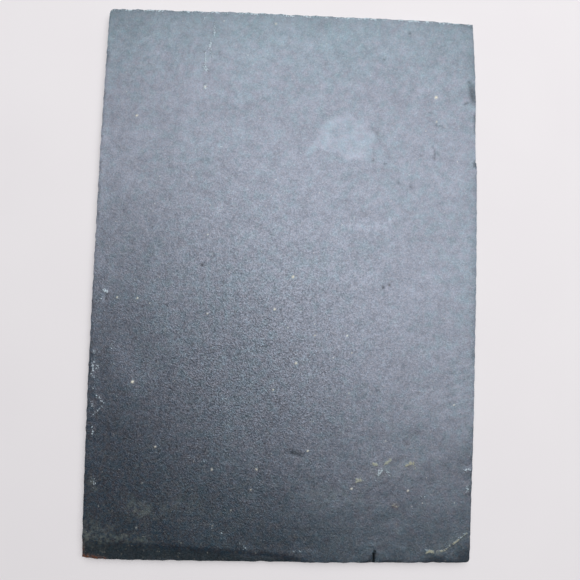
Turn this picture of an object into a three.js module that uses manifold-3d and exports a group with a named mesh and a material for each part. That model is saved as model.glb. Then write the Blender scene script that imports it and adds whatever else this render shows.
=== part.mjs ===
// A thin rectangular slab of dark slate: one natural stone, split to thickness along its layers.
// Its face is riven, its four sides are broken to size by hand, and its underside lies flat.
//
// Units are millimetres. The origin is at the middle of the underside. +X runs across the slab,
// +Y runs along its long side, and +Z points up, out of the face.

import * as THREE from "three";
import { mergeVertices } from "three/addons/utils/BufferGeometryUtils.js";
import Module from "manifold-3d";

const wasm = await Module();
wasm.setup();

// The slab, measured between its corners.
const width = 205.6;
const length = 298.3;
const thickness = 5;

// The sides, counter-clockwise seen from above. A side starts at the corner from, which is rounded
// by round, and bows out by bow. A skew over 1 moves the fullest place towards the side's end.
// The blows that broke the side left shallow hollows, dressing deep, which fade towards corners.
const sides = [
  { name: "bottom", from: [-width / 2, -length / 2], round: 0, bow: 1.5, skew: 0.5, dressing: 0.3 },
  { name: "right", from: [width / 2, -length / 2], round: 2.5, bow: 3.1, skew: 1.35, dressing: 0.25 },
  { name: "top", from: [width / 2, length / 2], round: 0, bow: 1.7, skew: 0.85, dressing: 0.4 },
  { name: "left", from: [-width / 2, length / 2], round: 3, bow: 1.8, skew: 1, dressing: 0.3 },
];
const bottomBow = sides[0].bow;
const bowFlatness = 2.5;
const blowPitch = 9;
const blowDrift = 1.1;
const blowDriftLength = 31;
const dressingFade = 0.3;
const outlineStep = 2.2;
const cornerSegments = 4;

// Dressing breaks the stone away from below, so the underside is bevelled all round.
const undersideBevel = 1.8;

// Shell-shaped flakes lost from the face's edge. at runs from 0 to 1 along the side. The deepest
// one goes all the way down and leaves a long shallow hollow in the side itself.
const flakes = [
  { side: "right", at: 0.79, length: 40, reach: 0.6, depth: 12 },
  { side: "right", at: 0.868, length: 15, reach: 4.4, depth: 0.5 },
  { side: "right", at: 0.815, length: 12, reach: 1.8, depth: 0.5 },
  { side: "right", at: 0.49, length: 4, reach: 1.1, depth: 0.5 },
  { side: "left", at: 0.529, length: 11, reach: 2.2, depth: 0.25 },
  { side: "left", at: 0.655, length: 14, reach: 2.6, depth: 0.25 },
  { side: "left", at: 0.722, length: 16, reach: 6.5, depth: 0.3 },
  { side: "left", at: 0.8, length: 8, reach: 2.2, depth: 0.25 },
  { side: "top", at: 0.3, length: 18, reach: 1.6, depth: 0.4 },
  { side: "top", at: 0.72, length: 12, reach: 1.6, depth: 0.4 },
  { side: "bottom", at: 0.91, length: 16, reach: 4.4, depth: 0.4 },
];
const flakeSegments = [28, 20];

// A layer has split off the face along the bottom side, from its left corner to the middle.
const lostLayer = { widthAtCorner: 8.6, widthAtMiddle: 2, end: 16, depth: 0.6 };
const lostLayerSteps = 24;

// The bottom right corner is broken off along a sloping plane.
const cornerBreak = { alongBottom: 18, alongRight: 16, tilt: 2.6 };

// A crack runs into the face from the bottom side, and a splinter is missing at its left lip.
const crack = { x: 51.2, length: 6.6, width: 0.7, depth: 1.6, splinter: 5 };

// Cutting tools reach past the slab by this much.
const overrun = 6;

// Vertices closer than this are the same vertex.
const mergeDistance = 1e-4;

const slateColour = 0x4b545f;
const slateRoughness = 0.6;

// The whole of a side: its own corner, the next corner, and the directions along and out.
function sideFrame(name) {
  const index = sides.findIndex((side) => side.name === name);
  const next = sides[(index + 1) % sides.length];
  const start = new THREE.Vector2(...sides[index].from);
  const reach = new THREE.Vector2(...next.from).sub(start);
  const along = reach.clone().normalize();
  const outward = new THREE.Vector2(along.y, -along.x);
  return { ...sides[index], start, along, outward, length: reach.length(), nextRound: next.round };
}

// Point at t, from 0 to 1, along a side. The bow fades to nothing at both corners. The hollows
// left by the blows are rounded, with sharp ridges between them.
function sidePoint(frame, t) {
  const distance = t * frame.length;
  const drift = blowDrift * Math.sin(distance / blowDriftLength);
  const hollow = Math.abs(Math.sin((Math.PI * distance) / blowPitch + drift));
  const bulge = frame.bow * (1 - Math.abs(2 * t ** frame.skew - 1) ** bowFlatness);
  const fade = Math.sin(Math.PI * t) ** dressingFade;
  return frame.start
    .clone()
    .addScaledVector(frame.along, distance)
    .addScaledVector(frame.outward, bulge - frame.dressing * hollow * fade);
}

function slabOutline() {
  const outline = new THREE.Shape();
  outline.moveTo(...sides[0].from);
  for (const { name } of sides) {
    const frame = sideFrame(name);
    const first = frame.round / frame.length;
    const last = 1 - frame.nextRound / frame.length;
    const steps = Math.round(frame.length / outlineStep);
    for (let i = 0; i <= steps; i++) {
      const point = sidePoint(frame, THREE.MathUtils.lerp(first, last, i / steps));
      if (i > 0) outline.lineTo(point.x, point.y);
      else if (frame.round > 0) outline.quadraticCurveTo(...frame.from, point.x, point.y);
    }
  }
  return outline;
}

// A solid for cutting and joining, from a closed three.js geometry.
function solidOf(geometry) {
  const bare = geometry.clone();
  bare.deleteAttribute("normal");
  bare.deleteAttribute("uv");
  const merged = mergeVertices(bare, mergeDistance);
  return new wasm.Manifold(
    new wasm.Mesh({
      numProp: 3,
      vertProperties: merged.getAttribute("position").array,
      triVerts: new Uint32Array(merged.index.array),
    }),
  );
}

function geometryOf(solid) {
  const mesh = solid.getMesh();
  const geometry = new THREE.BufferGeometry();
  geometry.setAttribute("position", new THREE.BufferAttribute(mesh.vertProperties, 3));
  geometry.setIndex(new THREE.BufferAttribute(mesh.triVerts, 1));
  geometry.computeVertexNormals();
  return geometry;
}

// The dressed block, from the underside up past the face. Its lower bevel stays, and the face is
// cut through its straight sides, so the face's own edge is sharp.
function dressedBlock() {
  const block = new THREE.ExtrudeGeometry(slabOutline(), {
    depth: thickness,
    bevelThickness: undersideBevel,
    bevelSize: undersideBevel,
    bevelOffset: -undersideBevel,
    bevelSegments: 1,
    curveSegments: cornerSegments,
  }).translate(0, 0, undersideBevel);
  return solidOf(block);
}

function aboveTheFace() {
  const box = new THREE.BoxGeometry(width + 2 * overrun, length + 2 * overrun, 2 * overrun);
  return solidOf(box.translate(0, 0, thickness + overrun));
}

// A shallow bowl centred on the face's edge.
function flakeScar(flake) {
  const frame = sideFrame(flake.side);
  const edge = sidePoint(frame, flake.at);
  const bowl = new THREE.SphereGeometry(1, ...flakeSegments)
    .scale(flake.length / 2, flake.reach, flake.depth)
    .rotateZ(frame.along.angle())
    .translate(edge.x, edge.y, thickness);
  return solidOf(bowl);
}

// A prism with an upright axis, from a height to above the face.
function uprightPrism(shape, fromHeight) {
  const depth = thickness + overrun - fromHeight;
  const prism = new THREE.ExtrudeGeometry(shape, { depth, bevelEnabled: false });
  return solidOf(prism.translate(0, 0, fromHeight));
}

function lostLayerCut() {
  const { widthAtCorner, widthAtMiddle, end, depth } = lostLayer;
  const edge = -length / 2;
  const outside = edge - overrun;
  const brokenLine = new THREE.SplineCurve([
    new THREE.Vector2(-width / 2 - overrun, edge + widthAtCorner),
    new THREE.Vector2(-width / 4, edge + (widthAtCorner + widthAtMiddle) / 2),
    new THREE.Vector2(0, edge + widthAtMiddle),
    new THREE.Vector2(end, edge - bottomBow),
    new THREE.Vector2(end + overrun, outside),
  ]);
  const shape = new THREE.Shape(brokenLine.getPoints(lostLayerSteps));
  shape.lineTo(-width / 2 - overrun, outside);
  return uprightPrism(shape, thickness - depth);
}

// Everything above a plane that leaves the face along the line between the two ends of the break
// and slopes down towards the corner.
function cornerBreakCut() {
  const { alongBottom, alongRight, tilt } = cornerBreak;
  const corner = new THREE.Vector2(width / 2, -length / 2);
  const size = 2 * (alongBottom + alongRight);
  const downhill = Math.atan2(-alongBottom, alongRight);
  const block = new THREE.BoxGeometry(size, size, size)
    .translate(size / 2, 0, size / 2)
    .rotateY(THREE.MathUtils.degToRad(tilt))
    .rotateZ(downhill)
    .translate(corner.x - alongBottom / 2, corner.y + alongRight / 2, thickness);
  return solidOf(block);
}

function crackCut() {
  const { x, length: crackLength, width: crackWidth, depth, splinter } = crack;
  const edge = -length / 2;
  const shape = new THREE.Shape();
  shape.moveTo(x + crackWidth / 2, edge - overrun);
  shape.lineTo(x + crackWidth / 3, edge + crackLength / 2);
  shape.lineTo(x + crackWidth / 2, edge + crackLength);
  shape.lineTo(x - crackWidth / 4, edge + crackLength / 2);
  shape.lineTo(x - crackWidth / 2, edge);
  shape.lineTo(x - splinter, edge - bottomBow);
  shape.lineTo(x - splinter, edge - overrun);
  return uprightPrism(shape, thickness - depth);
}

function slabSolid() {
  const cuts = [aboveTheFace(), ...flakes.map(flakeScar), lostLayerCut(), cornerBreakCut(), crackCut()];
  return cuts.reduce((solid, cut) => solid.subtract(cut), dressedBlock());
}

const slate = new THREE.MeshStandardMaterial({ color: slateColour, roughness: slateRoughness });
const stoneSlab = new THREE.Mesh(geometryOf(slabSolid()), slate);
stoneSlab.name = "stone_slab";

const part = new THREE.Group();
part.add(stoneSlab);

export default part;
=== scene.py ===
import math

import bpy
import numpy as np
from mathutils import Matrix, Quaternion, Vector, noise
from mathutils.bvhtree import BVHTree


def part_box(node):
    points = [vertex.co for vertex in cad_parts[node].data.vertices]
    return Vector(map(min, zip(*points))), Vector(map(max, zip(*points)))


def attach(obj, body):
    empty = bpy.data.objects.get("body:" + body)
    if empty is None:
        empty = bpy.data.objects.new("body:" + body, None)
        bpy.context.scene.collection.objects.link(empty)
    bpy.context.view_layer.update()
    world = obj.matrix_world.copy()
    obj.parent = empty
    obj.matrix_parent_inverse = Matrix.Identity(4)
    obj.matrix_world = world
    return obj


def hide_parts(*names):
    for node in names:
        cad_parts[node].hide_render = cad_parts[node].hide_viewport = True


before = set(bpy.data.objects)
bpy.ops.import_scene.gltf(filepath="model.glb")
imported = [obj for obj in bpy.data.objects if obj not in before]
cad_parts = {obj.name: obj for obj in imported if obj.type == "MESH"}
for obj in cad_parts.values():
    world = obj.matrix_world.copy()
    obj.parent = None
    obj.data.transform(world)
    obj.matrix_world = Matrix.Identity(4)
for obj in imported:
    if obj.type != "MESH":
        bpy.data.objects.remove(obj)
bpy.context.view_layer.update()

MM = 0.001

# Keeps a division by a length of nothing finite.
TINY = 1e-9

# How finely the stone is meshed. The underside is coarser than the face by a whole number.
FACE_SPACING = 0.9
UNDERSIDE_COARSENESS = 3
WALL_RINGS = 8
UNDERSIDE_BORDER = 3.0

# Reading the CAD stone: rays start CLEAR outside it, and stone further in than EDGE_REACH is the
# wall of a crack, not the side. The outline is read at OUTLINE_HEIGHT, and a wall ring no higher
# than WALL_TOP.
CLEAR = 12.0
EDGE_REACH = 3.0
OUTLINE_HEIGHT = 2.0
WALL_TOP = 2 * OUTLINE_HEIGHT
RIM_STEP_IN = 0.15
THINNEST = 0.5

# Relief of the riven face, each as (wavelength, height).
SWELL = (80.0, 0.22)
RIPPLE = (9.0, 0.017)
GRAIN = (2.0, 0.014)
LAYER_WAVELENGTH = 60.0
LAYER_COUNT = 7
LAYER_HEIGHT = 0.06
LAYER_STEP = (0.42, 0.58)
LAYER_CLEARNESS = (-0.1, 0.35)
RIVING_HEADING = 57.0
RIVING_STRETCH = 1.6
GRAIN_STRETCH = 1.2

# The face's own level is this percentile of its relief, and what stands higher is flattened.
FACE_LEVEL = 99

# Strength of the fine grain at the borders and at its strongest place, given as x, y and its reach
# across and along.
GRAININESS = (0.42, 1.35)
GRAINY_PLACE = (-22, -52, 85, 92)

# Broken stone: the sides, the chips and the places where a layer has gone.
BREAK_DEPTH = (0.2, 1.0)
BREAK_ROUGHNESS = (4.0, 0.10)
BREAK_STRETCH = 1.8
BREAK_HEADING = 15.0
WEAR_PASSES = 12
WEAR_DEPTHS = (0.05, 0.45)
SHARP_EDGE = 48.0

# The walls between the rim and the underside: how ragged their layers are.
LAMINA_RAGGED = 0.32
LAMINA_MEAN = 0.5
LAMINA_MOST_RAGGED = 1.4
LAMINA_START = 0.15

# The rim: how ragged each side is, the flakes as (width, depth) and their patches, and the band
# of crushed stone, which is left only within CRUSHED_TOP of the top side.
RIM_RAGGED = (0.3, 0.2, 0.45, 0.3)
RIM_RAGGED_LENGTH = 2.8
RIM_RAGGED_MEAN = 0.3
RIM_CRUMBLE = (1.4, 0.12)
RIM_CRUMBLE_PATCHES = (-0.15, 0.55)
RIM_CRUMBLE_LEAST = (0.25, 0.2)
RIM_CRUSHED = 1.3
RIM_CRUSHED_FADE = (0.5, 1.5)
RIM_CRUSHED_PATCHES = (-0.3, 0.3)
RIM_CRUSHED_STRENGTH = (0.45, 0.45)
CRUSHED_TOP = (8.0, 4.0)

# The underside's hollows, as (wavelength, share) of two noises, from where to where their sum
# hollows it, and how deep the deepest are.
UNDERSIDE_BROAD = (40.0, 1.0)
UNDERSIDE_FINE = (7.0, 0.35)
UNDERSIDE_RANGE = (-0.2, 1.0)
UNDERSIDE_HOLLOW = 0.22

# The crack in the bottom side. The face's grid is drawn together round it by up to GATHER_SHARE,
# within GATHER_REACH times CRACK_GATHER, so that it can follow the crack.
CRACK_X = 51.2
CRACK_TOP = -142.0
CRACK_WIDTH = 1.2
CRACK_GATHER = 1.5
GATHER_REACH = 4
GATHER_SHARE = 0.5
CRACK_END = 1.2
IN_CRACK = 0.3

# A patch of smoother stone, where a layer came away cleanly.
SMOOTH_PATCH = (
    (7.5, 68.5), (12.5, 78), (21, 90.5), (33, 94), (44, 90), (49, 80), (44, 66.5), (37, 69),
    (31.5, 65.5), (27, 71), (18, 73.5), (12.5, 71),
)
SMOOTH_PATCH_HEIGHT = 0.05
SMOOTH_PATCH_RAGGED = 1.6
SMOOTH_PATCH_FADE = (-1.2, 2.2)
SMOOTH_PATCH_FLATTENS = 0.6
SMOOTH_PATCH_QUIETS = 0.4
SPLINTER_HEIGHT = 0.08

# How the stone turns from teal to violet away from its top, its bottom and its right side.
TEAL_TOP = (3.0, 55.0)
TEAL_BOTTOM = (-20.0, 70.0)
TEAL_RIGHT = (0.0, 18.0)
VIOLET_AT_RIGHT = 0.65

# What is drawn on the face fades with the square of its distance in widths, times LINE_FADE. Pits and
# gouges are painted dark as shade: a mark fully from FULL_MARK_DEPTH, a pit PIT_DARKNESS times as
# strongly.
LINE_FADE = 1.6
FULL_MARK_DEPTH = 0.14
PIT_DARKNESS = 2

# Places on the face are (x, y). Marks are pits and gouges, as (from, to, width, depth).
MARKS = (
    ((74, 72), (75, 72), 1.1, 0.14), ((53.5, 66.5), (54, 66.5), 0.8, 0.25),
    ((78, 96.5), (79.5, 96.5), 0.8, 0.12), ((76.5, 94), (79, 93), 0.8, 0.10),
    ((79, 93), (80.5, 91.5), 0.8, 0.12), ((80.5, 91.5), (80.5, 86), 0.7, 0.05),
    ((83.5, 89.5), (87, 88), 0.8, 0.12), ((80.5, 77.5), (81.5, 75), 0.8, 0.14),
    ((81.5, 75), (81.5, 69.5), 0.9, 0.12), ((83.5, 75), (84.5, 72), 0.7, 0.06),
    ((66, 52), (71, 54), 0.8, 0.08), ((98.5, 102.5), (100, 103), 0.9, 0.16),
    ((47.5, 90.5), (49.5, 90.5), 1.2, 0.08), ((50, 80), (51.5, 78), 1.4, 0.06),
    ((68.5, 21), (68.5, 21), 1.0, 0.10), ((-46, 6.5), (-46, 6.5), 0.9, 0.3),
    ((-40.5, 11.5), (-40, 11.5), 0.8, 0.16), ((51.5, -59), (51.5, -59), 0.9, 0.16),
    ((-43, 122), (-45, 120.5), 0.9, 0.06), ((-47, 116), (-46.5, 115), 1.0, 0.1),
    ((-45, 138), (-45, 136.5), 0.8, 0.05), ((-43, 136.5), (-42.5, 135), 0.8, 0.05),
    ((-51, 144), (-49.5, 145), 0.9, 0.05), ((-43.5, 135.5), (-46, 126), 0.8, 0.06),
    ((-44, 103.5), (-42, 101), 0.8, 0.05), ((-96.5, -11), (-97.5, -13.5), 0.9, 0.12),
    ((68.5, -113.5), (70, -114), 0.9, 0.06), ((50.8, -149.2), (46.5, -150.2), 0.8, 0.12),
    ((5.5, -93.4), (10.5, -94.6), 1.7, 0.15),
)

# Small pits, painted dark as shade, as (x, y, size, strength).
SHADED_PITS = (
    (-45.8, 6.5, 0.8, 0.9), (-40.5, 11.5, 0.8, 0.5), (53.9, -3.0, 1.1, 0.7), (57.2, -1.5, 1.0, 0.7),
    (48.9, 83.9, 1.0, 0.5), (47.2, 68.2, 1.1, 0.5), (61.4, 55.9, 1.2, 0.5), (68.4, 54.2, 1.4, 0.5),
    (83.2, 73.7, 1.4, 0.4), (82.2, 89.5, 1.2, 0.5), (66.6, 142.4, 1.1, 0.5),
    (52.2, 126.5, 0.9, 0.5), (-88.5, 108.0, 0.9, 0.4), (-30.5, 95.5, 0.9, 0.4),
)

# Crushed and splintered stone, as (from, to, width, strength).
CRUSHED = (
    ((-44.2, 141.2), (-44.1, 136), 1.1, 0.95), ((-45.9, 132.5), (-46.2, 128.6), 1.2, 1.0),
    ((-48.8, 127.1), (-48.2, 116.5), 0.8, 0.95), ((-46.2, 128.9), (-44.5, 123.5), 1.2, 0.7),
    ((-48.6, 118), (-47.6, 116.2), 1.9, 0.95), ((-49.8, 147), (-50.5, 145), 1.3, 0.7),
    ((-44.3, 147), (-44.2, 143), 0.8, 0.65), ((-48, 107), (-48, 105.5), 1.7, 1.0),
    ((-44.5, 103), (-43.5, 102), 1.2, 0.6), ((-98.5, -8.5), (-96.5, -9.5), 1.4, 1.0),
    ((-102, -15.5), (-98, -12.5), 1.2, 0.6), ((-92.5, -39.5), (-90.5, -40.5), 2.4, 0.6),
    ((-101.7, -41.9), (-101.3, -41.9), 1.8, 0.8), ((-102, -47), (-102, -55), 1.8, 0.7),
    ((-99.6, -49.7), (-99.2, -50.5), 1.5, 0.8), ((-101.7, -61.5), (-101.5, -61.5), 1.4, 0.8),
    ((-99.5, -64.5), (-95.5, -68.7), 1.3, 0.72), ((-102, -68.8), (-101, -71.5), 1.6, 0.65),
    ((-102.5, -77), (-95.5, -70.8), 1.2, 0.6), ((-100.4, -81.5), (-100.7, -86), 1.4, 0.72),
    ((-99, -110.5), (-98.5, -113), 3.0, 0.35), ((-50, -96), (-47, -97), 1.2, 0.6),
    ((-44.5, -98.5), (-41, -98.5), 1.0, 0.5), ((54, -102), (53, -103.5), 2.1, 0.9),
    ((50.5, -106), (51.5, -107), 2.0, 0.5), ((57, -101), (59, -104), 2.1, 0.6),
    ((63, -94.5), (63, -93), 1.4, 0.5), ((100, -134), (97, -136), 1.2, 0.6),
    ((95, -137), (90, -141), 1.1, 0.5), ((99.5, -100.5), (103, -100), 1.4, 0.8),
    ((78.5, -142.5), (80, -143), 1.4, 0.6), ((101, -109), (101, -112), 1.7, 0.7),
    ((7.5, -144.5), (17, -144.4), 1.2, 0.5), ((-20, -141), (-17, -144), 1.7, 0.6),
    ((-30.6, -134.9), (-27.7, -141.5), 2.0, 0.48), ((-36.4, -131), (-35.6, -133), 1.5, 0.5),
    ((-99.4, -109.5), (-98, -111.5), 2.6, 0.52), ((-47.8, -97.8), (-37.9, -99), 0.9, 0.55),
    ((77, -114.5), (77.5, -115.5), 1.5, 0.6),
)

# Clumps of lime crust, as (from, to, width, strength).
CRUSTS = (
    ((41.5, -107), (44, -107), 2.4, 1.0), ((49.5, -98), (52, -98.5), 1.6, 0.9),
    ((56, -99), (58.5, -96.5), 1.5, 0.85), ((59, -95), (59.5, -96.5), 1.2, 0.95),
    ((68, -98.5), (70, -97.5), 1.8, 0.95), ((72, -97.5), (73, -100.5), 1.4, 0.8),
    ((64.5, -89), (65, -88.5), 1.0, 0.75), ((85.5, -143), (89, -143), 1.4, 1.0),
    ((79.5, -144), (83, -143.5), 1.5, 1.05), ((61, -120), (64, -119.5), 1.6, 0.65),
    ((90, -142), (98, -136), 1.0, 0.85), ((98, -136), (101, -133.5), 1.0, 0.8),
)

# Thin olive films of lime and dirt, as (from, to, width, strength).
FILMS = (
    ((-102, -138), (-92, -138.5), 5.5, 1.0), ((-92, -138), (-70, -140), 4.0, 0.8),
    ((-78, -123), (-70, -126), 7.0, 0.75), ((-60, -122), (-44, -121), 7.0, 0.4),
    ((18, -116), (42, -115.6), 6.0, 0.4), ((-101, -133), (-90, -134), 8.0, 0.5),
    ((-92, -96), (-90, -97), 4.0, 0.3), ((-99, -110.5), (-98.5, -113), 3.0, 0.9),
    ((50, -103), (72, -99), 6.0, 0.45), ((84, -143), (100, -135), 3.5, 0.5),
)

# Rust stains, as (from, to, width, strength).
RUSTS = (
    ((-102.4, -148.6), (-94.5, -149.6), 1.2, 1.2), ((-102.6, -147), (-102.6, -141), 0.9, 0.7),
    ((-93.5, -149.8), (-91, -150), 1.1, 1.0), ((48.5, 85), (49.5, 82), 1.0, 0.3),
    ((47, 69), (48, 67), 1.0, 0.3), ((62, -120.5), (63, -121), 1.4, 0.5),
)

# Darker stone, as (from, to, width, strength): the bared layer along the bottom, the chips and small
# stains, a darker band along the right edge, and painted shade: a broad band over the lower left
# where the sheen fades, a band along the top edge, the crack and round some pits.
DULL_AND_SHADE = (
    ((-104, -146.5), (-72, -147), 5.0, 1.1), ((-72, -147), (-30, -148.8), 4.0, 1.0),
    ((-30, -148.8), (5, -150.4), 2.8, 0.9), ((5, -151), (48, -151), 1.2, 0.5),
    ((102.3, 113), (103.8, 104), 3.6, 0.65), ((100.7, 115.2), (101.2, 114.6), 1.6, 0.8),
    ((104.8, 96), (105, 86), 1.8, 0.8), ((100, 123), (102, 124.5), 1.2, 0.4),
    ((94, 129), (95, 128), 3.0, 0.2), ((104, 146), (104, 118), 6.0, 0.3),
    ((48, -150.6), (100, -149.6), 2.0, 0.6), ((-95, -140), (15, -144), 28.0, 0.22),
    ((CRACK_X, CRACK_TOP - 1), (CRACK_X, -152), 0.7, 1.2), ((-104, 149), (20, 150), 13.0, 0.33),
    ((20, 150), (104, 148), 11.0, 0.22), ((106, 60), (106, -40), 6.0, 0.4),
    ((-100, 141), (-72, 141), 8.0, 0.3), ((-100, 133), (-99, 135), 1.5, 0.3),
    ((-101, 122), (-101, 117), 2.0, 0.3), ((66.6, 142.4), (67, 141), 1.4, 0.4),
    ((75, 141), (76, 139), 2.2, 0.3), ((94, 137), (95, 135), 2.5, 0.25),
    ((71.9, 125), (72, 123), 2.0, 0.2), ((52.2, 126.5), (52.2, 126.5), 1.0, 0.35),
    ((54, 78), (52, 82), 3.0, 0.2), ((53.3, -1.6), (54, -3), 1.1, 0.5),
    ((57.2, -1.3), (58, -2.5), 0.9, 0.5), ((48, -17.5), (49.5, -18.5), 0.9, 0.4),
    ((55.8, 34.5), (55.8, 32), 1.2, 0.3), ((105.5, -1.8), (105.5, -1.8), 1.3, 0.9),
    ((-52, 73), (-50, 76), 0.9, 0.3), ((-54.5, 50.5), (-54, 51.5), 1.4, 0.3),
    ((-88, 80), (-87, 82), 1.5, 0.2),
)

# Stone with a paler sheen, as (from, to, width, strength): small pale patches and streaks, and broad
# bands of painted highlight along the left side.
PALE_AND_HIGHLIGHT = (
    ((-104, 40), (-104, -95), 14.0, 0.42), ((-104, 128), (-104, 50), 9.0, 0.35),
    ((-86, -46), (-78, -54), 14.0, 0.5), ((27, 82), (38, 80), 9.0, 0.2),
    ((-36.5, 38.5), (-38, 36), 4.5, 0.36), ((-32.4, -43), (-32, -46), 5.0, 0.36),
    ((-92, -39.5), (-90, -40.5), 3.0, 0.45), ((55.5, 77), (69, 100), 1.4, 0.26),
    ((72, 106), (83.3, 124.3), 1.4, 0.26), ((61, 88.7), (77.7, 109.5), 1.2, 0.22),
    ((31, 29.9), (56, 31.8), 3.0, 0.3), ((44, 3.1), (51, 5.5), 2.2, 0.32),
    ((57, 36), (56, 31), 1.6, 0.3), ((-19.1, -37.6), (-3.2, -26.4), 1.6, 0.3),
    ((-29, -65.9), (-20.3, -84.2), 2.2, 0.34), ((11.3, -62.3), (17.1, -78.2), 1.6, 0.32),
    ((-24, -70), (-18, -88), 1.2, 0.3), ((-42, -50), (-40, -56), 3.0, 0.25),
    ((10, -70), (12, -86), 1.2, 0.25), ((-62, 118), (-55, 112), 5.0, 0.2),
    ((-52, 104), (-30, 101), 5.0, 0.24), ((-16, 108), (-14, 104), 2.4, 0.28),
)

# Pale mineral grains, as (x, y, size, strength), each with a halo that reaches a little further.
GRAIN_SPREAD = 1.15
GRAINS = (
    (82, 105.5, 1.2, 1.0), (82.5, 91.5, 0.8, 0.7), (-85, 88.5, 0.9, 0.9), (-91, -12.5, 0.7, 0.8),
    (-80, -12.5, 0.8, 0.8), (-73.5, -15, 0.6, 0.6), (-42, -20, 0.7, 0.7), (-5.5, -16.5, 0.9, 0.9),
    (4, 1.5, 1.0, 1.0), (-80.5, -57.5, 1.1, 1.0), (-67, -91.5, 0.8, 0.8), (-73, -110.5, 1.2, 0.4),
    (-36.5, -102.5, 0.8, 0.8), (-12.5, -102.5, 0.7, 0.7), (-15.5, -113, 0.7, 0.7),
    (-5, -60, 0.8, 0.8), (-75, -133.5, 1.2, 0.45), (-35, -132, 0.9, 0.5), (-25.5, -124, 0.8, 0.55),
    (14.5, -92, 0.8, 0.9), (38.5, -111.5, 0.9, 0.8), (69, -112, 0.9, 0.8), (-43.5, 23.5, 0.6, 0.7),
    (93.5, -66, 0.7, 0.7), (36, -61, 0.6, 0.6), (56.5, -86, 1.0, 0.5), (-88, -123, 1.2, 0.3),
    (94.5, 69, 0.6, 0.6), (-48, 106.5, 0.8, 0.8), (16.5, -24, 0.6, 0.6), (27, -42, 0.6, 0.6),
    (-39, 145, 0.6, 0.6), (-36.3, 38.6, 0.7, 0.5), (16.8, -30.2, 0.8, 0.7), (34.3, -29.8, 0.8, 0.8),
    (6.9, -45.4, 1.1, 0.8), (-16.6, 89.5, 0.8, 0.5), (-9.6, 144.7, 1.2, 0.6),
    (-73.3, -100.9, 1.0, 0.4), (4.2, -120.4, 1.0, 0.35), (-58.2, -56.4, 0.8, 0.4),
    (-13.1, -101.9, 0.8, 0.6), (29.7, -35.6, 0.7, 0.4), (-36.5, -102.9, 0.9, 0.7),
)


# ---------------------------------------------------------------- reading the CAD stone


def cad_stone():
    """The CAD stone as a tree that rays can be cast at."""
    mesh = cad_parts["stone_slab"].data
    points = [v.co / MM for v in mesh.vertices]
    return BVHTree.FromPolygons(points, [p.vertices[:] for p in mesh.polygons]), points


CAD_TREE, CAD_POINTS = cad_stone()
LOW, HIGH = (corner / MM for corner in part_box("stone_slab"))

# Corners in the order of the rim, counter-clockwise from the bottom left, as signs of x and y.
CORNER_SIGNS = ((-1, -1), (1, -1), (1, 1), (-1, 1))
SIDE_OUTWARD = ((0, -1), (1, 0), (0, 1), (-1, 0))


def steps_along(length):
    """How many face cells fit along a length, as a multiple of the underside's coarseness."""
    return UNDERSIDE_COARSENESS * round(length / FACE_SPACING / UNDERSIDE_COARSENESS)


COLUMNS = steps_along(HIGH.x - LOW.x)
ROWS = steps_along(HIGH.y - LOW.y)
SIDE_STEPS = (COLUMNS, ROWS, COLUMNS, ROWS)


def cast(origin, direction):
    """Distance from origin to the stone along a direction, or None."""
    return CAD_TREE.ray_cast(Vector(origin), Vector(direction).normalized())[3]


def corner_at(signs, z):
    """Place of a corner at a height, found by looking in along the corner's diagonal."""
    tip = max(CAD_POINTS, key=lambda p: signs[0] * p.x + signs[1] * p.y)
    outward = Vector((signs[0], signs[1], 0)).normalized()
    start = Vector((tip.x, tip.y, z)) + outward * CLEAR
    distance = cast(start, -outward)
    return start - outward * (CLEAR if distance is None else distance)


def ring_at(heights):
    """The stone's outline, one point for each rim vertex, at a height for each of them."""
    corner_heights = [heights[sum(SIDE_STEPS[:side])] for side in range(4)]
    corners = [corner_at(signs, z) for signs, z in zip(CORNER_SIGNS, corner_heights)]
    ring = []
    for side, steps in enumerate(SIDE_STEPS):
        start, end = corners[side], corners[(side + 1) % 4]
        outward = Vector((*SIDE_OUTWARD[side], 0))
        shares = np.arange(steps) / steps
        bulge = np.full(steps, np.nan)
        bulge[0] = 0.0
        for i in range(1, steps):
            base = start.lerp(end, shares[i])
            base.z = heights[len(ring) + i]
            distance = cast(base + outward * CLEAR, -outward)
            if distance is not None and distance < CLEAR + EDGE_REACH:
                bulge[i] = CLEAR - distance
        known = ~np.isnan(bulge)
        bulge = np.interp(shares, np.append(shares[known], 1.0), np.append(bulge[known], 0.0))
        for share, out in zip(shares, bulge):
            point = start.lerp(end, share) + outward * out
            ring.append((point.x, point.y))
    return np.array(ring)


def face_height(x, y):
    """Height of the CAD face, or of what is left below it, at a place."""
    distance = cast((x, y, HIGH.z + CLEAR), (0, 0, -1))
    return THINNEST if distance is None else max(HIGH.z + CLEAR - distance, THINNEST)


def rim_outward():
    """Outward direction at each rim vertex, along the diagonal at a corner."""
    rows = []
    for side, steps in enumerate(SIDE_STEPS):
        rows.extend([SIDE_OUTWARD[side]] * steps)
    for side, signs in enumerate(CORNER_SIGNS):
        rows[sum(SIDE_STEPS[:side])] = (signs[0] * math.sqrt(0.5), signs[1] * math.sqrt(0.5))
    return np.array(rows)


# ---------------------------------------------------------------- noise and masks


def field(points, wavelength, octaves, seed, stretch=1.0, heading=0.0):
    """Smooth noise at each point (x, y), about -1 to 1, drawn out by stretch along a heading."""
    turn = math.radians(heading)
    along = points[:, 0] * math.cos(turn) + points[:, 1] * math.sin(turn)
    across = points[:, 1] * math.cos(turn) - points[:, 0] * math.sin(turn)
    places = zip(along / (wavelength * stretch), across / wavelength)
    return np.array([noise.fractal((a, b, seed), 1.0, 2.0, octaves) for a, b in places])


def smooth_step(low, high, values):
    """0 below low, 1 above high, and a smooth curve between."""
    share = np.clip((values - low) / (high - low), 0.0, 1.0)
    return share * share * (3 - 2 * share)


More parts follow.
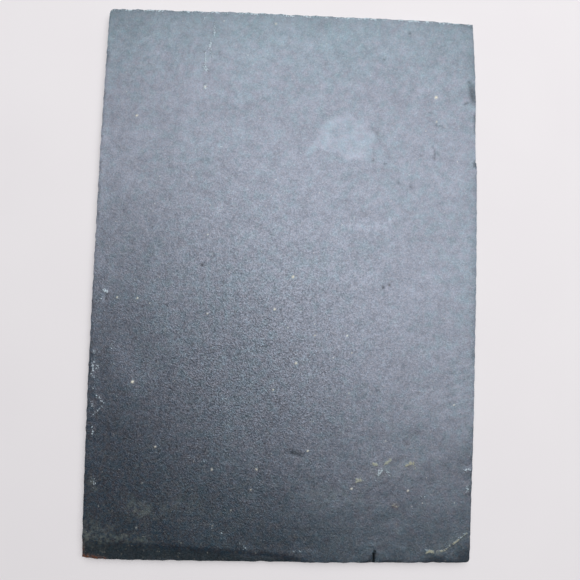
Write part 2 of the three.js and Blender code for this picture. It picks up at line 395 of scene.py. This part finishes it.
def near_line(points, start, end, width):
    """1 on the line from start to end, fading to 0 at about width from it."""
    start, end = np.array(start, float), np.array(end, float)
    along = end - start
    share = np.clip((points - start) @ along / max(along @ along, TINY), 0.0, 1.0)
    distance = np.linalg.norm(points - start - share[:, None] * along, axis=1)
    return np.exp(-((distance / width) ** 2) * LINE_FADE)


def near_point(points, x, y, radius):
    return near_line(points, (x, y), (x, y), radius)


def inside(points, outline):
    """How far each point lies inside a closed outline, and less than 0 outside it."""
    ends = np.array(outline, float)
    within = np.zeros(len(points), bool)
    nearest = np.full(len(points), np.inf)
    x, y = points[:, 0], points[:, 1]
    for (ax, ay), (bx, by) in zip(ends, np.roll(ends, -1, axis=0)):
        along_x, along_y = bx - ax, by - ay
        crosses = (ay > y) != (by > y)
        within ^= crosses & (x < ax + along_x * (y - ay) / (along_y + TINY))
        reached = (x - ax) * along_x + (y - ay) * along_y
        share = np.clip(reached / (along_x**2 + along_y**2), 0, 1)
        nearest = np.minimum(nearest, np.hypot(x - ax - share * along_x, y - ay - share * along_y))
    return np.where(within, nearest, -nearest)


def smooth_patch(points):
    """1 on the patch of smoother stone, fading over its ragged outline."""
    ragged = SMOOTH_PATCH_RAGGED * field(points, wavelength=6, octaves=3, seed=31)
    return smooth_step(*SMOOTH_PATCH_FADE, inside(points, SMOOTH_PATCH) + ragged)


def violet_share(points):
    """0 where the stone is tealest, along the top and bottom, to 1 where it is most violet."""
    above, right, below = HIGH.y - points[:, 1], HIGH.x - points[:, 0], points[:, 1] - LOW.y
    share = smooth_step(*TEAL_TOP, above) * smooth_step(*TEAL_BOTTOM, below)
    return share * (VIOLET_AT_RIGHT + (1 - VIOLET_AT_RIGHT) * smooth_step(*TEAL_RIGHT, right))


def graininess(points):
    """How strongly the fine grain shows, most of all a little below the middle of the face."""
    x, y, across, along = GRAINY_PLACE
    spread = np.exp(-(((points[:, 0] - x) / across) ** 2) - ((points[:, 1] - y) / along) ** 2)
    return GRAININESS[0] + (GRAININESS[1] - GRAININESS[0]) * spread


def drawn(points, lines):
    """How strongly each point is covered by lines of (from, to, width, strength)."""
    amount = np.zeros(len(points))
    for start, end, width, strength in lines:
        amount = np.maximum(amount, strength * near_line(points, start, end, width))
    return amount


# ---------------------------------------------------------------- the face's relief


def riven_field(points, wavelength, octaves, seed, stretch=RIVING_STRETCH):
    """Noise drawn out along the heading in which the stone was riven."""
    return field(points, wavelength, octaves, seed, stretch, RIVING_HEADING)


def split_layers(points):
    """Low steps where riving left one thin layer and took the next, clear in some places only."""
    level = LAYER_COUNT * riven_field(points, LAYER_WAVELENGTH, octaves=4, seed=4)
    whole = np.floor(level)
    step = whole + smooth_step(*LAYER_STEP, level - whole)
    clearness = smooth_step(*LAYER_CLEARNESS, field(points, wavelength=45, octaves=2, seed=9))
    return LAYER_HEIGHT * (step * clearness + level * (1 - clearness))


def riven_relief(points):
    """Height of the riven face about its mean level."""
    patch = smooth_patch(points)
    grain = riven_field(points, GRAIN[0], octaves=3, seed=2, stretch=GRAIN_STRETCH)
    height = SWELL[1] * field(points, SWELL[0], octaves=2, seed=1)
    height += RIPPLE[1] * riven_field(points, RIPPLE[0], octaves=3, seed=3)
    height += GRAIN[1] * grain * (1 - SMOOTH_PATCH_FLATTENS * patch)
    height += split_layers(points) + SMOOTH_PATCH_HEIGHT * patch
    height += SPLINTER_HEIGHT * drawn(points, CRUSHED)
    return height - drawn(points, MARKS)


def broken_relief(points):
    """Height of freshly broken stone about its mean level."""
    wavelength, height = BREAK_ROUGHNESS
    return height * field(
        points, wavelength, octaves=4, seed=40, stretch=BREAK_STRETCH, heading=BREAK_HEADING
    )


def edge_distance(points, ring):
    """How far each point of the face's grid lies from the nearest of the four sides."""
    corner = np.cumsum((0, *SIDE_STEPS))
    closed = np.vstack((ring, ring[:1]))
    sides = [closed[a : b + 1] for a, b in zip(corner, corner[1:])]
    x, y = points[:, 0], points[:, 1]
    below = y - np.interp(x, sides[0][:, 0], sides[0][:, 1])
    right = np.interp(y, sides[1][:, 1], sides[1][:, 0]) - x
    above = np.interp(x, sides[2][::-1, 0], sides[2][::-1, 1]) - y
    left = x - np.interp(y, sides[3][::-1, 1], sides[3][::-1, 0])
    return np.maximum(np.minimum.reduce((below, right, above, left)), 0.0)


def rim_crumble(points, distance):
    """How much small flakes along the rim have lowered the face."""
    width, depth = RIM_CRUMBLE
    least_width, least_depth = RIM_CRUMBLE_LEAST
    patchy = smooth_step(*RIM_CRUMBLE_PATCHES, field(points, wavelength=7, octaves=2, seed=21))
    reach = width * (least_width + patchy)
    return depth * (least_depth + patchy) * (1 - smooth_step(0.0, 1.0, distance / reach))


# ---------------------------------------------------------------- the stone's mesh


def grid_inside(ring, columns, rows):
    """Fills a four-sided ring with columns by rows cells, each point blended from all four sides."""
    corner = np.cumsum((0, columns, rows, columns))
    closed = np.vstack((ring, ring[:1]))
    bottom = closed[corner[0] : corner[1] + 1]
    right = closed[corner[1] : corner[2] + 1]
    top = closed[corner[2] : corner[3] + 1][::-1]
    left = closed[corner[3] :][::-1]
    u = np.linspace(0, 1, columns + 1)[None, :, None]
    v = np.linspace(0, 1, rows + 1)[:, None, None]
    across = (1 - v) * bottom[None] + v * top[None]
    upward = (1 - u) * left[:, None] + u * right[:, None]
    flat = (1 - v) * ((1 - u) * bottom[0] + u * bottom[-1]) + v * ((1 - u) * top[0] + u * top[-1])
    return across + upward - flat


def grid_faces(columns, rows):
    """Cells of a grid whose points run row by row."""
    first = (np.arange(rows)[:, None] * (columns + 1) + np.arange(columns)[None]).ravel()
    return np.stack((first, first + 1, first + columns + 2, first + columns + 1), 1)


def grid_rim(columns, rows):
    """Points on the border of a grid, counter-clockwise from its first point."""
    index = np.arange((rows + 1) * (columns + 1)).reshape(rows + 1, columns + 1)
    sides = (index[0, :-1], index[:-1, -1], index[-1, :0:-1], index[:0:-1, 0])
    return np.concatenate(sides)


def strip_faces(upper, lower):
    """Cells between two closed rings of points, the lower one below or outside the upper one."""
    return np.stack((upper, lower, np.roll(lower, -1), np.roll(upper, -1)), 1)


def thinning_faces(fine, coarse):
    """Faces between a fine ring and a ring with one point for every UNDERSIDE_COARSENESS of its."""
    count = UNDERSIDE_COARSENESS
    following = np.roll(coarse, -1)
    faces = []
    for i, (near, far) in enumerate(zip(coarse, following)):
        span = [fine[(count * i + j) % len(fine)] for j in range(count + 1)]
        middle = count // 2
        for j in range(count):
            if j < middle:
                faces.append((span[j], near, span[j + 1]))
            elif j > middle:
                faces.append((span[j], far, span[j + 1]))
            else:
                faces.append((span[j], near, far, span[j + 1]))
    return faces


def follow_features(places):
    """Moves points onto the crack, the grains and the pits, which are narrower than a cell."""
    near = np.abs(places[:, 0] - CRACK_X)
    beside = (places[:, 1] < CRACK_TOP) & (near < GATHER_REACH * CRACK_GATHER)
    gathered = near * (1 - GATHER_SHARE * np.exp(-((near / CRACK_GATHER) ** 2)))
    gathered[near < FACE_SPACING / 2] = 0.0
    side = np.sign(places[:, 0] - CRACK_X)
    places[beside, 0] = CRACK_X + (side * gathered)[beside]
    for x, y, _, _ in GRAINS + SHADED_PITS:
        nearest = np.hypot(places[:, 0] - x, places[:, 1] - y).argmin()
        places[nearest] = (x, y)


def worn(depth, places, edge):
    """Depth below the face, with its steps worn soft and its shallow scars nearly worn away.

    The crack stays sharp, and fades out just short of the rim.
    """
    soft = depth.reshape(ROWS + 1, COLUMNS + 1)
    for _ in range(WEAR_PASSES):
        wide = np.pad(soft, 1, mode="edge")
        soft = (2 * soft + wide[:-2, 1:-1] + wide[2:, 1:-1] + wide[1:-1, :-2] + wide[1:-1, 2:]) / 6
    soft = soft * smooth_step(*WEAR_DEPTHS, soft)
    crack = near_line(places, (CRACK_X, CRACK_TOP), (CRACK_X, LOW.y), CRACK_WIDTH) > IN_CRACK
    sharp = depth * smooth_step(0.0, CRACK_END, edge)
    return np.where(crack, sharp, soft.ravel())


def face_points():
    """The face's points as rows of x, y, z, how broken the stone is at each, its distance from the
    rim, and which points are the rim."""
    ring = ring_at(np.full(sum(SIDE_STEPS), OUTLINE_HEIGHT))
    ragged = np.clip(RIM_RAGGED_MEAN + field(ring, RIM_RAGGED_LENGTH, octaves=3, seed=25), 0, 1)
    ragged *= np.repeat(RIM_RAGGED, SIDE_STEPS)
    places = grid_inside(ring - rim_outward() * ragged[:, None], COLUMNS, ROWS).reshape(-1, 2)
    follow_features(places)
    rim = grid_rim(COLUMNS, ROWS)
    probes = places.copy()
    probes[rim] -= rim_outward() * RIM_STEP_IN
    cad_height = np.array([face_height(x, y) for x, y in probes])
    edge = edge_distance(places, ring)
    depth = worn(HIGH.z - cad_height, places, edge)
    broken = smooth_step(*BREAK_DEPTH, depth)
    relief = (1 - broken) * riven_relief(places) + broken * broken_relief(places)
    relief -= np.percentile(relief, FACE_LEVEL)
    relief -= rim_crumble(places, edge)
    height = np.clip(HIGH.z - depth + np.minimum(relief, 0), THINNEST, HIGH.z)
    return np.column_stack((places, height)), broken, edge, rim


def wall_ring(rim_points, share, seed):
    """Points of one ring of the side wall, share of the way down from the rim to the underside."""
    heights = rim_points[:, 2] * (1 - share)
    ring = ring_at(np.minimum(heights, WALL_TOP))
    ragged = LAMINA_MEAN + field(ring, wavelength=5, octaves=3, seed=seed)
    ragged = np.clip(ragged, 0, LAMINA_MOST_RAGGED)
    inward = LAMINA_RAGGED * ragged * math.sin(math.pi * min(share + LAMINA_START, 1.0))
    ring = ring - rim_outward() * inward[:, None]
    return np.column_stack((ring, heights))


def underside_points(lower_ring):
    """A coarse grid a little inside the underside's edge, hardly hollowed."""
    corners = np.cumsum((0,) + SIDE_STEPS[:3])
    inset = lower_ring[:, :2] - rim_outward() * UNDERSIDE_BORDER
    inset[corners] -= rim_outward()[corners] * UNDERSIDE_BORDER * (math.sqrt(2) - 1)
    coarse = inset[::UNDERSIDE_COARSENESS]
    columns, rows = COLUMNS // UNDERSIDE_COARSENESS, ROWS // UNDERSIDE_COARSENESS
    places = grid_inside(coarse, columns, rows).reshape(-1, 2)
    hollow = UNDERSIDE_BROAD[1] * field(places, UNDERSIDE_BROAD[0], octaves=3, seed=70)
    hollow += UNDERSIDE_FINE[1] * field(places, UNDERSIDE_FINE[0], octaves=3, seed=71)
    height = UNDERSIDE_HOLLOW * smooth_step(*UNDERSIDE_RANGE, hollow)
    return np.column_stack((places, height)), columns, rows


def stone_mesh():
    """The whole stone as one closed mesh, how broken each point is, and its distance from the rim."""
    face, face_broken, edge, rim = face_points()
    points, faces = [face], [grid_faces(COLUMNS, ROWS)]
    broken = [face_broken]
    upper = rim
    total = len(face)
    for ring in range(1, WALL_RINGS + 1):
        wall = wall_ring(face[rim], ring / WALL_RINGS, seed=50 + 3 * ring)
        lower = total + np.arange(len(wall))
        faces.append(strip_faces(upper, lower))
        points.append(wall)
        broken.append(np.ones(len(wall)))
        total += len(wall)
        upper = lower
    under, columns, rows = underside_points(points[-1])
    under_rim = total + grid_rim(columns, rows)
    faces.append(grid_faces(columns, rows)[:, ::-1] + total)
    points.append(under)
    broken.append(np.zeros(len(under)))
    quads = [tuple(cell) for block in faces for cell in block.tolist()]
    quads.extend(thinning_faces(upper.tolist(), under_rim.tolist()))
    points = np.vstack(points)
    edge = np.append(edge, np.zeros(len(points) - len(edge)))
    return points, quads, np.concatenate(broken), edge


def dotted(points, dots):
    """How strongly each point is covered by dots of (x, y, size, strength)."""
    amount = np.zeros(len(points))
    for x, y, size, strength in dots:
        amount = np.maximum(amount, strength * near_point(points, x, y, GRAIN_SPREAD * size))
    return amount


def crushed_rim(points, edge):
    """How much the rim is crushed white, which it is along the top side only."""
    least, more = RIM_CRUSHED_STRENGTH
    patchy = smooth_step(*RIM_CRUSHED_PATCHES, field(points, wavelength=6, octaves=3, seed=81))
    rim = (1 - smooth_step(*RIM_CRUSHED_FADE, edge / RIM_CRUSHED)) * (least + more * patchy)
    fade_start, fade_end = CRUSHED_TOP
    return rim * smooth_step(HIGH.y - fade_start, HIGH.y - fade_end, points[:, 1])


def add_layer(mesh, name, values):
    """Stores one number for each point, for the material to read."""
    layer = mesh.attributes.new(name, "FLOAT", "POINT")
    layer.data.foreach_set("value", values.astype(np.float32))


def build_stone():
    points, faces, broken, edge = stone_mesh()
    mesh = bpy.data.meshes.new("riven_slate")
    mesh.from_pydata((points * MM).tolist(), [], faces)
    mesh.shade_smooth()
    mesh.set_sharp_from_angle(angle=math.radians(SHARP_EDGE))
    places = points[:, :2]
    on_face = points[:, 2] > HIGH.z / 2
    patch = smooth_patch(places) * on_face
    # Painted shade in the pits and gouges, darker where they are deeper.
    pit_shade = np.clip(drawn(places, MARKS) / FULL_MARK_DEPTH, 0, 1)
    pit_shade = np.maximum(pit_shade, PIT_DARKNESS * dotted(places, SHADED_PITS))
    crushed = np.maximum(drawn(places, CRUSHED), crushed_rim(places, edge))
    add_layer(mesh, "broken", broken)
    add_layer(mesh, "crushed", crushed * on_face)
    add_layer(mesh, "pit_shade", pit_shade * on_face)
    add_layer(mesh, "crust", drawn(places, CRUSTS) * on_face)
    add_layer(mesh, "film", drawn(places, FILMS) * on_face)
    add_layer(mesh, "rust", drawn(places, RUSTS))
    # Darker stone, partly painted shade: over the lower left, along the top edge, in the crack and round
    # pits.
    add_layer(mesh, "dull_and_shade", drawn(places, DULL_AND_SHADE))
    # Pale patches and a painted highlight along the left side.
    add_layer(mesh, "pale_and_highlight", drawn(places, PALE_AND_HIGHLIGHT) * on_face)
    add_layer(mesh, "violet", violet_share(places))
    add_layer(mesh, "grainy", graininess(places) * (1 - SMOOTH_PATCH_QUIETS * patch))
    add_layer(mesh, "grains", dotted(places, GRAINS) * on_face)
    add_layer(mesh, "smooth", patch)
    stone = bpy.data.objects.new("riven_slate", mesh)
    bpy.context.scene.collection.objects.link(stone)
    return stone


# ---------------------------------------------------------------- materials


class Nodes:
    """Adds nodes to a material and links them."""

    def __init__(self, material):
        material.use_nodes = True
        self.tree = material.node_tree
        self.tree.nodes.clear()

    def add(self, kind, inputs=None, **settings):
        node = self.tree.nodes.new("ShaderNode" + kind)
        for name, value in settings.items():
            setattr(node, name, value)
        for name, value in (inputs or {}).items():
            if isinstance(value, bpy.types.NodeSocket):
                self.tree.links.new(value, node.inputs[name])
            else:
                node.inputs[name].default_value = value
        return node

    def math(self, operation, a, b=0.0):
        return self.add("Math", {0: a, 1: b}, operation=operation).outputs[0]

    def layer(self, name):
        return self.add("Attribute", attribute_name=name).outputs["Fac"]

    def mix(self, share, a, b, blend="MIX"):
        node = self.add("Mix", data_type="RGBA", blend_type=blend, clamp_factor=True)
        for socket, value in ((0, share), (6, a), (7, b)):
            if isinstance(value, bpy.types.NodeSocket):
                self.tree.links.new(value, node.inputs[socket])
            else:
                node.inputs[socket].default_value = value
        return node.outputs[2]

    def between(self, value, low, high, to_low=0.0, to_high=1.0):
        """value mapped smoothly from low..high to to_low..to_high."""
        inputs = {"Value": value, "From Min": low, "From Max": high, "To Min": to_low, "To Max": to_high}
        return self.add("MapRange", inputs, interpolation_type="SMOOTHSTEP").outputs["Result"]

    def place(self):
        """Position on the piece, in mm."""
        position = self.add("TexCoord").outputs["Object"]
        return self.add("VectorMath", {0: position, "Scale": 1 / MM}, operation="SCALE").outputs[0]

    def noise(self, place, wavelength, detail, roughness, offset):
        moved = self.add("VectorMath", {0: place, 1: (offset, -offset, offset)}).outputs[0]
        inputs = {"Vector": moved, "Scale": 1 / wavelength, "Detail": detail, "Roughness": roughness}
        return self.add("TexNoise", inputs).outputs["Fac"]

    def cells(self, place, size):
        """A different number from 0 to 1 for each crystal of about the given size."""
        crystals = self.add("TexVoronoi", {"Vector": place, "Scale": 1 / size})
        return self.add("SeparateColor", {0: crystals.outputs["Color"]}).outputs[0]

    def total(self, *weighted):
        """Sum of (value, weight) pairs."""
        result = 0.0
        for value, weight in weighted:
            result = self.math("ADD", result, self.math("MULTIPLY", value, weight))
        return result

    def turned(self, place, heading, scale):
        """Place seen along a heading in degrees, and scaled along and across it."""
        inputs = {"Vector": place, "Rotation": (0, 0, -math.radians(heading)), "Scale": scale}
        return self.add("Mapping", inputs).outputs["Vector"]

    def grey_of(self, value):
        return self.add("CombineColor", {0: value, 1: value, 2: value}).outputs["Color"]

    def spotted(self, density, pattern):
        """Ragged spots from a noise pattern, more of them where density is higher."""
        level = self.math("ADD", density, self.math("MULTIPLY", pattern, SPOT_PATTERN))
        return self.between(level, *SPOT_EDGE)

    def fibres(self, place):
        """Short pale threads, where a noise crosses its middle value."""
        level = self.math("SUBTRACT", self.noise(place, *FIBRES), 0.5)
        threads = self.between(self.math("ABSOLUTE", level), 0.0, FIBRE_WIDTH, 1.0, 0.0)
        gaps = self.between(self.noise(place, *FIBRE_GAPS), *FIBRE_GAP_EDGE)
        return self.math("MULTIPLY", threads, gaps)

    def surface(self, shader):
        self.tree.links.new(shader, self.add("OutputMaterial").inputs["Surface"])


# Colours of the stone itself. Most of what shows on the face is its sheen, coloured by the tints.
STONE_TEAL = (0.0015, 0.0130, 0.0260, 1.0)
STONE_BROWN = (0.0145, 0.0125, 0.0150, 1.0)
BROKEN_DARK = (0.012, 0.018, 0.022, 1.0)
BROKEN_LIGHT = (0.030, 0.040, 0.044, 1.0)
BLUE_SHEEN = (0.73, 0.853, 1.0, 1.0)
TEAL_SHEEN = (0.67, 0.86, 0.985, 1.0)
VIOLET_SHEEN = (0.785, 0.838, 1.0, 1.0)
CRUSHED_STONE = (0.38, 0.46, 0.50, 1.0)
LIME_CRUST = (0.32, 0.28, 0.185, 1.0)
PALE_CRUST = (0.25, 0.30, 0.27, 1.0)
OLIVE_FILM = (0.090, 0.102, 0.088, 1.0)
RUST_BROWN = (0.11, 0.036, 0.013, 1.0)
MINERAL_WHITE = (0.78, 0.75, 0.63, 1.0)

# Noises of the stone's surface, each as (wavelength, detail, roughness, offset).
GRIT = (0.9, 3, 0.75, 29)
FIBRES = (1.7, 2, 0.5, 37)
FIBRE_GAPS = (0.7 * 1.7, 2, 0.5, 47)
MOTTLE = (5.0, 4, 0.6, 17)
STREAKS = (11.0, 3, 0.6, 43)
BROAD = (45.0, 3, 0.6, 3)
HUE_PATCHES = (4.5, 3, 0.55, 71)
EARTH = (1.8, 4, 0.75, 101)
RAGGED = (1.1, 3, 0.7, 41)
CHALK = (0.9, 2, 0.6, 97)
FILM = (2.4, 4, 0.7, 47)
CRUST = (1.9, 3, 0.65, 53)
CRUST_HUE = (6.0, 2, 0.5, 59)
FLECKS = (2.2, 2, 0.5, 83)
FINE_BUMP = (0.9, 3, 0.7, 61)
COARSE_BUMP = (3.0, 3, 0.5, 67)

# Sizes of the crystals and of the dust, the scale of the streaks' pattern along and across their
# heading, and how far from its middle value the fibres' noise still shows a fibre.
CRYSTAL_SIZE = 0.6
DUST_SIZE = 0.75
STREAK_SCALE = (0.35, 1.0, 1.0)
FIBRE_WIDTH = 0.05

# Where each noise turns on, from none to full.
FIBRE_GAP_EDGE = (0.45, 0.6)
SPOT_EDGE = (1.65, 2.05)
TEAL_TO_BLUE = (0.36, 0.5)
BLUE_TO_VIOLET = (0.5, 0.62)
EARTH_EDGE = (0.4, 0.6)
GRIT_RANGE = (0.3, 0.7)
RUST_EDGE = (0.35, 0.6)
FILM_EDGE = (0.4, 0.7)
GRAIN_EDGE = (0.15, 1.0)
FLECK_EDGE = (0.73, 0.8)
DUST_EDGE = (0.93, 1.0)

# Weights of what makes up the speckle, the clouds, the hue and the bump. A shift is added to its
# sum.
GRIT_WEIGHT = 1.15
CRYSTAL_WEIGHT = 0.55
FIBRE_WEIGHT = 0.3
SPECKLE_SHIFT = -0.89
MOTTLE_WEIGHT = 0.6
STREAK_WEIGHT = 0.25
CLOUD_SHIFT = -(MOTTLE_WEIGHT + STREAK_WEIGHT) / 2
HUE_PATCH_WEIGHT = 0.5
BROAD_WEIGHT = 0.25
VIOLET_WEIGHT = 0.14
FIBRE_HUE = -0.1
SMOOTH_HUE = -0.04
HUE_SHIFT = 0.08
FINE_BUMP_WEIGHT = 0.85
COARSE_BUMP_WEIGHT = 0.08

# Where the graininess rises from the first number to the second, the clouds' strength goes from
# the third to the fourth.
CLOUDS_UNDER_GRAIN = (0.6, 1.3, 1.0, 0.45)

# What the stone's tone is multiplied by where a layer is full, as (layer, full value, tone).
LAYER_TONES = (
    # Pale patches and a painted highlight along the left side.
    ("pale_and_highlight", 1.0, 1.45),
    ("smooth", 1.0, 1.17),
    # Darker stone, partly painted shade.
    ("dull_and_shade", 1.0, 0.48),
    # Painted shade in the pits and gouges.
    ("pit_shade", 1.5, 0.4),
    ("broken", 1.0, 0.88),
)

# How much a noise pattern counts against the density of the spots, and how strongly the flecks
# and the dust show.
SPOT_PATTERN = 2.2
FLECK_STRENGTH = 0.3
DUST_STRENGTH = 0.05

# Gloss of bare and of covered stone. What covers the stone is rougher and stands a little proud.
GLOSS = (0.9, 0.25)
ROUGHNESS = (0.325, 0.405)
COVER_ROUGHER = 0.3
COVER_RAISED = 0.4
BUMP_DISTANCE = 0.18
STONE_IOR = 1.9


def slate_tone(n, place, grit, fibres):
    """Tone of the stone, about 1, from its grain, mottling and streaks and from its layers, some of which
    are painted shade and a painted highlight.
    """
    mottle = n.noise(place, *MOTTLE)
    streaks = n.noise(n.turned(place, RIVING_HEADING, STREAK_SCALE), *STREAKS)
    crystals = n.cells(place, CRYSTAL_SIZE)
    speckle = n.total(
        (grit, GRIT_WEIGHT), (crystals, CRYSTAL_WEIGHT), (fibres, FIBRE_WEIGHT), (1.0, SPECKLE_SHIFT)
    )
    speckle = n.math("MULTIPLY", speckle, n.layer("grainy"))
    clouds = n.total((mottle, MOTTLE_WEIGHT), (streaks, STREAK_WEIGHT), (1.0, CLOUD_SHIFT))
    clouds = n.math("MULTIPLY", clouds, n.between(n.layer("grainy"), *CLOUDS_UNDER_GRAIN))
    tone = n.total((speckle, 1.0), (clouds, 1.0), (1.0, 1.0))
    for name, full, tone_there in LAYER_TONES:
        tone = n.math("MULTIPLY", tone, n.between(n.layer(name), 0, full, 1.0, tone_there))
    return tone


def slate_sheen(n, place, fibres, tone):
    """Tint of the stone's reflection, from teal through blue to violet."""
    hue = n.total(
        (n.noise(place, *HUE_PATCHES), HUE_PATCH_WEIGHT),
        (n.noise(place, *BROAD), BROAD_WEIGHT),
        (n.layer("violet"), VIOLET_WEIGHT),
        (fibres, FIBRE_HUE),
        (n.layer("smooth"), SMOOTH_HUE),
        (1.0, HUE_SHIFT),
    )
    sheen = n.mix(n.between(hue, *TEAL_TO_BLUE), TEAL_SHEEN, BLUE_SHEEN)
    sheen = n.mix(n.between(hue, *BLUE_TO_VIOLET), sheen, VIOLET_SHEEN)
    # The tone carries its painted shade and highlight into the reflection's tint.
    return n.mix(1.0, sheen, n.grey_of(tone), "MULTIPLY")


def bare_stone(n, place, grit, tone):
    """Colour of the stone itself, split or broken."""
    earth = n.between(n.noise(place, *EARTH), *EARTH_EDGE)
    # The tone carries its painted shade and highlight into the stone's colour too.
    split = n.mix(1.0, n.mix(earth, STONE_TEAL, STONE_BROWN), n.grey_of(tone), "MULTIPLY")
    broken = n.mix(n.between(grit, *GRIT_RANGE), BROKEN_DARK, BROKEN_LIGHT)
    return n.mix(n.layer("broken"), split, broken)


def mineral_share(n, place):
    """How much mineral shows: the large grains, flecks, and dust as fine as the crystals."""
    mineral = n.between(n.layer("grains"), *GRAIN_EDGE)
    flecks = n.between(n.noise(place, *FLECKS), *FLECK_EDGE)
    mineral = n.math("MAXIMUM", mineral, n.math("MULTIPLY", flecks, FLECK_STRENGTH))
    crystals = n.cells(n.turned(place, RIVING_HEADING, (1.0, 1.0, 1.0)), DUST_SIZE)
    dust = n.between(crystals, *DUST_EDGE)
    return n.math("MAXIMUM", mineral, n.math("MULTIPLY", dust, DUST_STRENGTH))


def slate_material():
    material = bpy.data.materials.new("riven_slate")
    n = Nodes(material)
    place = n.place()
    grit = n.noise(place, *GRIT)
    fibres = n.fibres(place)
    tone = slate_tone(n, place, grit, fibres)
    stone = bare_stone(n, place, grit, tone)

    # What covers the stone: crushed stone, rust, an olive film, lime crusts and minerals.
    chalky = n.spotted(n.layer("crushed"), n.noise(place, *CHALK))
    rust = n.math("MULTIPLY", n.layer("rust"), n.between(n.noise(place, *RAGGED), *RUST_EDGE))
    film = n.math("MULTIPLY", n.layer("film"), n.between(n.noise(place, *FILM), *FILM_EDGE))
    crust = n.spotted(n.layer("crust"), n.noise(place, *CRUST))
    crust_colour = n.mix(n.noise(place, *CRUST_HUE), PALE_CRUST, LIME_CRUST)
    mineral = mineral_share(n, place)
    stone = n.mix(chalky, stone, CRUSHED_STONE)
    stone = n.mix(rust, stone, RUST_BROWN)
    stone = n.mix(film, stone, OLIVE_FILM)
    stone = n.mix(crust, stone, crust_colour)
    stone = n.mix(mineral, stone, MINERAL_WHITE)

    cover = n.math("MAXIMUM", n.math("MAXIMUM", crust, mineral), rust)
    gloss = n.between(cover, 0, 1, *GLOSS)
    cover = n.math("MAXIMUM", cover, chalky)
    roughness = n.between(grit, *GRIT_RANGE, *ROUGHNESS)
    roughness = n.math("ADD", roughness, n.math("MULTIPLY", cover, COVER_ROUGHER))

    height = n.total(
        (n.noise(place, *FINE_BUMP), FINE_BUMP_WEIGHT), (n.noise(place, *COARSE_BUMP), COARSE_BUMP_WEIGHT)
    )
    height = n.math("MULTIPLY", height, n.layer("grainy"))
    height = n.math("ADD", height, n.math("MULTIPLY", cover, COVER_RAISED))
    bump = n.add("Bump", {"Height": height, "Strength": 1.0, "Distance": BUMP_DISTANCE * MM})

    shader = n.add(
        "BsdfPrincipled",
        {
            "Base Color": stone,
            "Roughness": roughness,
            "IOR": STONE_IOR,
            "Specular IOR Level": gloss,
            "Specular Tint": slate_sheen(n, place, fibres, tone),
            "Normal": bump.outputs["Normal"],
        },
    )
    n.surface(shader.outputs[0])
    return material


FLOOR_MOTTLE = (60.0, 2, 0.5, 5)
FLOOR_COLOURS = ((0.74, 0.71, 0.73, 1.0), (0.77, 0.745, 0.76, 1.0))


def floor_material():
    material = bpy.data.materials.new("pale_floor")
    n = Nodes(material)
    colour = n.mix(n.noise(n.place(), *FLOOR_MOTTLE), *FLOOR_COLOURS)
    n.surface(n.add("BsdfDiffuse", {"Color": colour}).outputs[0])
    return material


# ---------------------------------------------------------------- stage, light and camera

FLOOR_SIZE = 3000.0

# A hair of air under the stone, so that its underside and the floor never lie in one plane.
FLOOR_GAP = 0.05

# The big soft light leans over the far right of the stone, so the stone's sheen fades towards
# its near left corner.
LIGHT_DIRECTION = (0.178, 0.342, 0.922)
LIGHT_TURN = -12.7
LIGHT_DISTANCE = 1400.0
LIGHT_SIZE = (2218.0, 1696.0)
LIGHT_POWER = 35.0
SKY_COLOUR = (0.92, 0.95, 1.0, 1.0)
SKY_STRENGTH = 0.05

CAMERA_HEIGHT = 237.6
CAMERA_PLACE = (-3.2, -18.65)
CAMERA_AIM = (2.53, -5.78)
CAMERA_TURN = 1.6
CAMERA_LENS = 27.04
CAMERA_SENSOR = 36.0
CAMERA_CLIP = 10.0


def build_floor():
    half = FLOOR_SIZE / 2 * MM
    floor_height = (LOW.z - FLOOR_GAP) * MM
    points = [(-half, -half, floor_height), (half, -half, floor_height)]
    points += [(half, half, floor_height), (-half, half, floor_height)]
    mesh = bpy.data.meshes.new("floor")
    mesh.from_pydata(points, [], [(0, 1, 2, 3)])
    mesh.materials.append(floor_material())
    floor = bpy.data.objects.new("floor", mesh)
    bpy.context.scene.collection.objects.link(floor)


def build_light():
    light = bpy.data.lights.new("softbox", "AREA")
    light.shape = "RECTANGLE"
    light.size = LIGHT_SIZE[0] * MM
    light.size_y = LIGHT_SIZE[1] * MM
    light.energy = LIGHT_POWER
    softbox = bpy.data.objects.new("softbox", light)
    direction = Vector(LIGHT_DIRECTION).normalized()
    softbox.location = direction * LIGHT_DISTANCE * MM
    turn = Quaternion((0, 0, 1), math.radians(LIGHT_TURN))
    softbox.rotation_euler = (direction.to_track_quat("Z", "Y") @ turn).to_euler()
    bpy.context.scene.collection.objects.link(softbox)


def build_sky():
    world = bpy.data.worlds.new("studio")
    world.use_nodes = True
    background = world.node_tree.nodes["Background"]
    background.inputs["Color"].default_value = SKY_COLOUR
    background.inputs["Strength"].default_value = SKY_STRENGTH
    bpy.context.scene.world = world


def build_camera():
    camera = bpy.data.objects.new("camera", bpy.data.cameras.new("camera"))
    camera.data.lens = CAMERA_LENS
    camera.data.sensor_width = CAMERA_SENSOR
    camera.data.clip_start = CAMERA_CLIP * MM
    position = Vector((*CAMERA_PLACE, HIGH.z + CAMERA_HEIGHT))
    view = (Vector((*CAMERA_AIM, HIGH.z)) - position).normalized()
    turn = math.radians(CAMERA_TURN)
    right = view.cross(Vector((-math.sin(turn), math.cos(turn), 0))).normalized()
    axes = Matrix((right, right.cross(view), -view)).transposed()
    camera.matrix_world = Matrix.Translation(position * MM) @ axes.to_4x4()
    bpy.context.scene.collection.objects.link(camera)
    bpy.context.scene.camera = camera


def main():
    stone = build_stone()
    stone.data.materials.append(slate_material())
    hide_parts("stone_slab")
    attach(stone, "root")
    build_floor()
    build_light()
    build_sky()
    build_camera()
    bpy.context.scene.view_settings.view_transform = "Standard"


main()
